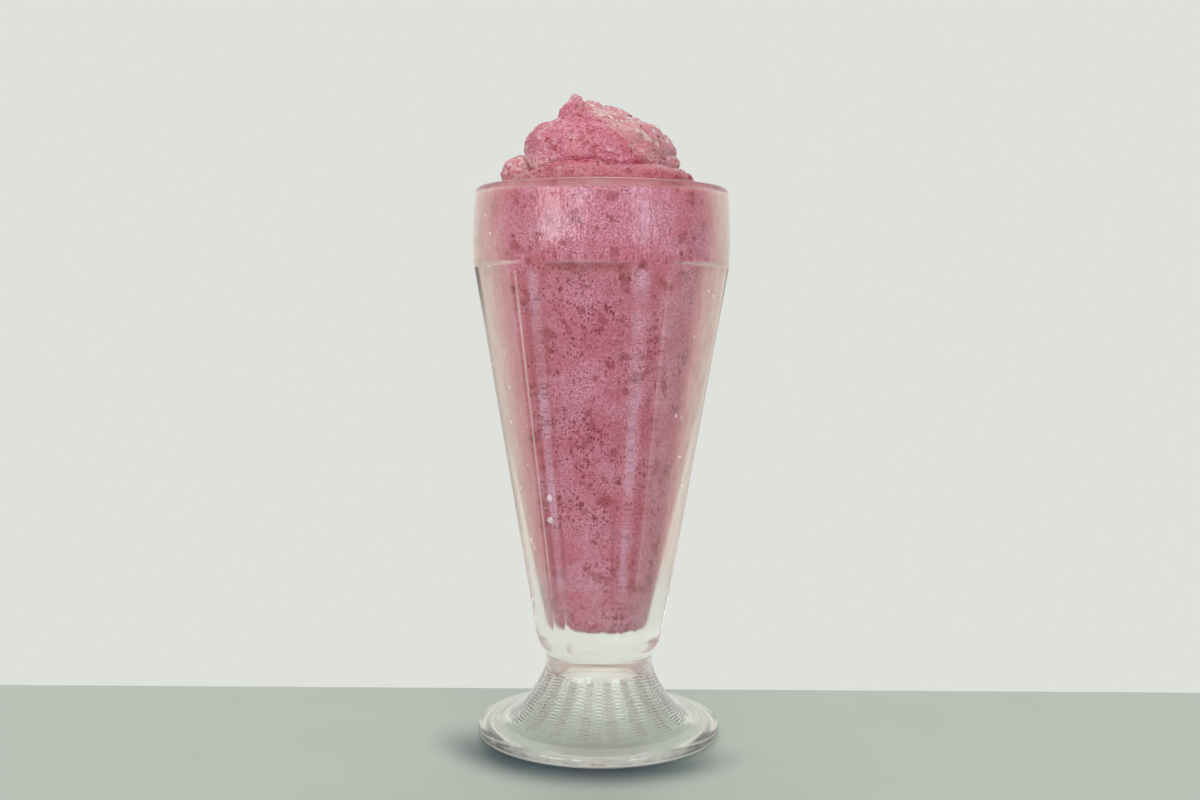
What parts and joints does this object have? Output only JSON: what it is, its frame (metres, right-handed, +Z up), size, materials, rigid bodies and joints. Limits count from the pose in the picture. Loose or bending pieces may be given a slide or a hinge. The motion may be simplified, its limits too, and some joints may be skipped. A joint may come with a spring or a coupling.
{
  "type": "strawberry smoothie",
  "caption": "Footed soda glass with flat pressed panels under a plain band, filled to the brim with pink strawberry smoothie that is heaped above the rim.",
  "frame": {"origin": "on the glass's axis, on the surface that its foot stands on", "axes": "+Z up along the glass's axis, -Y towards the viewer of the picture, +X to the viewer's right"},
  "size_m": [0.0868, 0.0868, 0.2182],
  "materials": {
    "glass": "clear pressed glass, fogged by a thin dew",
    "smoothie": "pink frozen puree with fine red specks"
  },
  "bodies": {
    "root": {"glass": "glass", "smoothie": "smoothie"}
  },
  "joints": []
}
